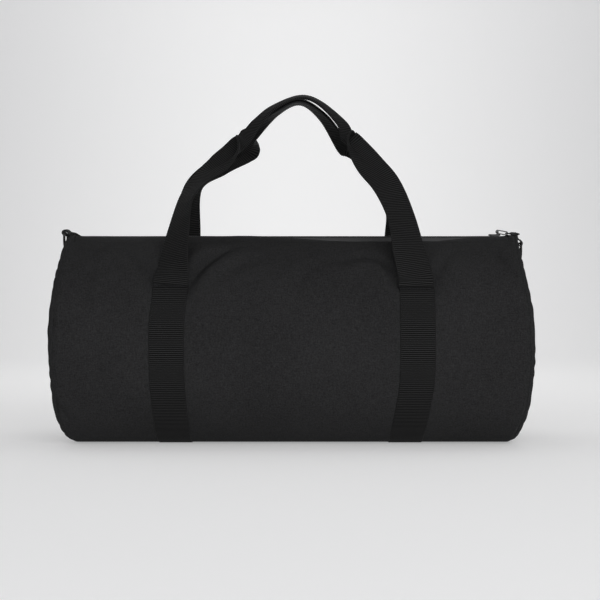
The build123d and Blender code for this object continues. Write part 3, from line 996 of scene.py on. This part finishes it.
def flap_profile(x, front):
    """Points across a mouth flap, from its fold line to the hem at the zip and back under it. (nu, nv, 3)."""
    edge_y = 7.6 * MM
    t = np.concatenate([np.linspace(0, 0.8, 20), np.linspace(0.82, 1.0, 10)])
    y = FOLD_Y + (edge_y - FOLD_Y) * t
    phi = np.arcsin(y / RADIUS)
    xx, pp = np.meshgrid(x, phi, indexing="ij")
    skin = barrel_points(xx, pp * -front)
    sag = zip_sag(x) if front < 0 else 0.2 * zip_sag(x)
    falling = np.sin(t * math.pi / 2)
    skin[..., 2] -= sag[:, None] * falling[None, :]
    wobble = 0.35 * MM * ripple(xx / MM, pp * RADIUS / MM, 31 + front, 10, 80, 25)
    skin[..., 2] += wobble * smoothstep(t / 0.3)[None, :] * (1 - 0.6 * t)[None, :]
    hem = []
    edge = skin[:, -1]
    for angle in np.linspace(15, 180, 9):
        a = math.radians(angle)
        shift = np.array([0, -front * 1.1 * MM * math.sin(a), -1.1 * MM * (1 - math.cos(a))])
        hem.append(edge + shift)
    under = edge + np.array([0, 0, -2.2 * MM])
    for back in np.linspace(1.5, 11, 7) * MM:
        hem.append(under + np.array([0, front * back, -0.01 * back]))
    return np.concatenate([skin, np.stack(hem, 1)], 1)


def blend_flap(piece):
    """Bake the piece's placement into its mesh."""
    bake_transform(piece)


def make_flap(front, face):
    """Both halves of a mouth flap: canvas with a hem, its zip tape and coil, and the hem's stitching."""
    mesh_step = 2.6 * MM
    for side, half in ((-1, "left"), (1, "right")):
        label = f"{face}_{half}"
        x = np.linspace(0, side * end_hi.x, int(end_hi.x / mesh_step))
        points = flap_profile(x, front)
        uv = np.stack(np.meshgrid(x, run_along(points[0]), indexing="ij"), -1)
        edge = points[:, 26]
        flip = (side * front) < 0
        if flip:
            points, uv = points[:, ::-1], uv[:, ::-1]
        flap = shell_object(f"{label}_mouth_canvas", points, uv, 0.9 * MM)
        flap.data.materials.append(CANVAS)
        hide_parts(f"{face}_mouth_flap")
        blend_flap(flap)

        normal = np.tile([0, 0, 1.0], (len(x), 1))
        seam = edge + np.array([0, front * 2.4, 0.35]) * MM
        hem = thread_object(f"{label}_hem_stitches", stitch_row(seam, normal))
        hem.data.materials.append(THREAD)
        blend_flap(hem)

        knots = [0.9, 2.5, 4.2, 5.4, 5.8, 6.1, 6.4, 6.7, 7.2, 8.5, 11, 15, 20]
        tape_y = np.array(knots) * MM
        xx, yy = np.meshgrid(x, tape_y, indexing="ij")
        sag = (zip_sag(x) if front < 0 else 0.2 * zip_sag(x))[:, None]
        slope = smoothstep((yy - 5.3 * MM) / (1.9 * MM))
        zz = coil_lo.z - 0.1 * MM - (sag + 1.9 * MM) * slope - (yy / (11 * RADIUS)) * yy
        zz = zz - 1.6 * MM * smoothstep((yy - 7.5 * MM) / (14 * MM))
        tape_points = np.stack([xx, front * yy, zz], -1)
        tape_uv = np.stack([xx, yy - (zz - zz[:, :1])], -1)
        if not flip:
            tape_points = tape_points[:, ::-1]
            tape_uv = tape_uv[:, ::-1]
        tape = shell_object(f"{label}_zip_ribbon", tape_points, tape_uv, 0.5 * MM)
        tape.data.materials.append(TAPE)
        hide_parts(f"{face}_zip_tape")
        blend_flap(tape)

        coil = coil_object(f"{label}_zip_coil_turns", x[0], x[-1], front)
        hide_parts(f"{face}_zip_coil")
        blend_flap(coil)


def coil_object(name, start, end, front):
    """Half of a coil zip: turns of monofilament whose heads reach between those of the other half."""
    pitch = 1.45 * MM
    turns = int(abs(end - start) / pitch)
    per_turn = 12
    turn = np.linspace(0, 2 * math.pi * turns, turns * per_turn + 1)
    x = start + (end - start) * turn / turn[-1]
    x = x + (0.25 * pitch * front)
    middle = 1.75 * MM
    reach = 2.05 * MM
    y = middle - reach * np.cos(turn)
    z = coil_lo.z + 1.15 * MM + 0.75 * MM * np.sin(turn)
    path = np.stack([x, front * y, z], 1)
    coil = grid_object(name, tube_points(path, 0.36 * MM, 6), closed_v=True)
    coil.data.materials.append(COIL)
    return coil


def make_zip_ends():
    """The sewn-down ends of the zip tape, beyond its travel."""
    for side, name in ((-1, "left"), (1, "right")):
        x = np.linspace(side * 0.2362, side * end_hi.x, 14)
        y = np.linspace(-17 * MM, 17 * MM, 20)
        xx, yy = np.meshgrid(x, y, indexing="ij")
        zz = coil_lo.z - 3.3 * MM - (yy / (8 * RADIUS)) * yy
        uv = np.stack([xx, yy], -1)
        points = np.stack([xx, yy, zz], -1)
        if side < 0:
            points = points[:, ::-1]
        tape = shell_object(f"{name}_zip_end_tape", points, uv, 0.5 * MM)
        tape.data.materials.append(TAPE)
        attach(tape, "barrel")
        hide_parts(f"{name}_zip_end")


# ---- rings, tabs and the puller


def make_ring_tab(side, name):
    """The doubled webbing loop in an end seam, twisted at its root, with the ring's bar in its fold."""
    eye = np.array(joints[f"{name}_ring_swing"]["pos_m"])
    lo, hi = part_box(f"{name}_ring_tab")
    width = hi.y - lo.y - 1 * MM
    if side < 0:
        slope, root_twist = math.radians(150), math.radians(40)
    else:
        slope, root_twist = math.radians(-55), math.radians(34)
    along = np.array([math.cos(slope), 0, math.sin(slope)])
    over = np.array([abs(along[2]), 0, abs(along[0])])
    length = 11.0 if side < 0 else 13.5
    reach = 2.9
    tail = -8 if side < 0 else -1.5
    outline = [(tail, 0.9), (0, 1.0), (0.45 * length, 1.7), (length - 1.5, reach)]
    bends = np.radians((18, 54, 90, 126, 162))
    outline += [(length + reach * math.sin(a), reach * math.cos(a)) for a in bends]
    outline += [(length - 1.5, -reach), (0.45 * length, -1.3), (0, -0.8), (tail, -0.7)]
    line = spline(outline, 120)
    run = run_along(line) * MM
    share = smoothstep(1 - line[:, 0] / (length - 3))
    twist = (math.radians(5) + (root_twist - math.radians(5)) * share)[:, None]
    across_dir = np.cos(twist) * np.array([0, 1.0, 0]) + np.sin(twist) * over
    lift_dir = np.cos(twist) * over - np.sin(twist) * np.array([0, 1.0, 0])
    start = eye - along * length * MM
    sink = np.array([0, 0, -1.5 * MM]) * share[:, None]
    middle = start + sink + line[:, :1] * MM * along + line[:, 1:] * MM * lift_dir
    points = middle[:, None] + ACROSS[None, :, None] * width / 2 * across_dir[:, None]
    tab = ribbon_object(f"{name}_ring_tab_webbing", points, run, ACROSS, 1.3 * MM)
    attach(tab, "barrel")
    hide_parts(f"{name}_ring_tab")


def make_puller():
    """The leaf-shaped pull tab: a dished plate with a raised rim, rolled a little towards the front."""
    pin = np.array(joints["tab_swing"]["pos_m"])
    droop, roll = math.radians(4), math.radians(30)
    along = np.array([math.cos(droop), 0, -math.sin(droop)])
    up = np.array([math.sin(droop), 0, math.cos(droop)])
    far = np.array([0, 1.0, 0])
    t = np.linspace(0, 1, 40)
    half = 0.3 + 2.9 * np.sin(math.pi * (0.16 + 0.84 * t)) ** 0.8
    rim_across = np.linspace(0.72, 1, 6)
    across = np.concatenate([-rim_across[::-1], np.linspace(-0.55, 0.55, 7), rim_across])
    x = 3.1 + 13.6 * t
    rim = 0.3 * np.exp(-(((np.abs(across) - 0.84) / 0.09) ** 2))
    dish = np.where(np.abs(across) < 0.75, -0.16, 0)
    turn = (roll * smoothstep(t / 0.3))[:, None, None]
    side_dir = np.cos(turn) * far + np.sin(turn) * up
    face_dir = np.cos(turn) * up - np.sin(turn) * far
    middle = pin + (x[:, None] * along)[:, None] * MM
    middle = middle + (across[None, :, None] * half[:, None, None]) * side_dir * MM
    lift = (0.6 + (rim + dish) * smoothstep(t / 0.1)[:, None] * smoothstep((1 - t) / 0.1)[:, None])
    top = middle + lift[..., None] * face_dir * MM
    bottom = middle - lift[..., None] * face_dir * MM
    loop = np.concatenate([top, bottom[:, ::-1]], 1)
    leaf = grid_object("leaf_plate", loop, closed_v=True)
    close_ends(leaf, loop.shape[0], loop.shape[1])
    parts = [leaf]
    for edge in (-1, 1):
        y = edge * 1.55 * MM
        path = [pin + np.array([0, y, 0]) + along * d * MM for d in np.linspace(-0.9, 4.2, 8)]
        size = np.array([0.5, 0.9, 0.95, 0.9, 0.8, 0.75, 0.7, 0.4]) * MM
        ear = grid_object("ear", squashed_tube(path, size, 0.42), closed_v=True)
        close_ends(ear, 8, 10)
        parts.append(ear)
    bar = [pin + np.array([0, y * MM, 0]) for y in (-1.95, -1.9, 0, 1.9, 1.95)]
    bar_size = np.array([0.5, 0.8, 0.8, 0.8, 0.5]) * MM
    pin_mesh = grid_object("pin", squashed_tube(bar, bar_size, 1), closed_v=True)
    close_ends(pin_mesh, 5, 10)
    parts.append(pin_mesh)
    tab = join_grids("leaf_pull", parts)
    tab.data.materials.clear()
    tab.data.materials.append(METAL)
    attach(tab, "tab")
    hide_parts("pull_tab")


def squashed_tube(path, radius, flat):
    """Rings of ten points round a path in the XZ plane or along Y; flat squashes them along Y."""
    path = np.asarray(path, float)
    tangent = np.gradient(path, axis=0)
    tangent /= np.linalg.norm(tangent, axis=1, keepdims=True)
    if abs(tangent[0, 1]) > 0.9:
        first = np.tile([1.0, 0, 0], (len(path), 1))
        second = np.tile([0, 0, 1.0], (len(path), 1))
    else:
        first = np.tile([0, 1.0, 0], (len(path), 1)) * flat
        second = np.cross(tangent, (0, 1.0, 0))
    turn = np.linspace(0, 2 * math.pi, 10, endpoint=False)
    ring = np.cos(turn)[None, :, None] * first[:, None] + np.sin(turn)[None, :, None] * second[:, None]
    return path[:, None] + ring * np.reshape(radius, (-1, 1, 1))


def give(node, material):
    """A CAD node that keeps its own shape gets a material."""
    obj = frame["nodes"][node]
    obj.data.materials.clear()
    obj.data.materials.append(material)


make_camera()
make_stage()
CANVAS = canvas_material()
WEBBING = webbing_material()
TAPE = tape_material()
THREAD = thread_material()
COIL = coil_material()
METAL = metal_material()

make_barrel()
make_end(-1, "left")
make_end(1, "right")
make_binding(-1, "left")
make_binding(1, "right")
threads = make_strap(-1, "left") + make_strap(1, "right") + make_stitch_bars()
stitches = thread_object("strap_stitches", threads)
stitches.data.materials.append(THREAD)
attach(stitches, "barrel")
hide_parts("strap_stitching")
make_handle(-1, "front", FRONT_STATIONS)
make_handle(1, "back", BACK_STATIONS)
make_flap(-1, "front")
make_flap(1, "back")
make_zip_ends()
make_ring_tab(-1, "left")
make_ring_tab(1, "right")
make_puller()
for node in ("zip_slider", "puller_link", "zip_stops", "left_d_ring", "right_d_ring"):
    give(node, METAL)
